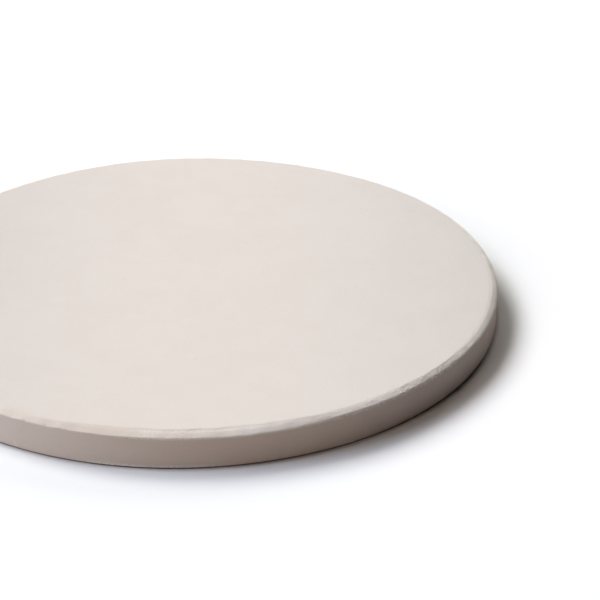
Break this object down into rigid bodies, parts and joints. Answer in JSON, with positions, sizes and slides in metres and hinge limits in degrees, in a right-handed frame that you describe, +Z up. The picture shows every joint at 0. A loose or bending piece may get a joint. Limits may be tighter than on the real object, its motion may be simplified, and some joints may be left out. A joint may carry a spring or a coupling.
{
  "type": "pizza stone",
  "caption": "Round pizza stone: one thick, flat disc of unglazed cordierite with a shallow bevel round its baking face, laid on an oven rack to bake on.",
  "frame": {"origin": "centre of the flat underside, in the plane that the stone rests on", "axes": "+Z up along the disc's axis, out of the baking face; the disc is round, so +X and +Y are any two square directions in the plane of the underside"},
  "size_m": [0.33, 0.33, 0.019],
  "materials": {
    "fired_cordierite": "matte, unglazed, fine-grained and cream-coloured"
  },
  "bodies": {
    "root": {"pizza_stone": "fired_cordierite"}
  },
  "joints": []
}
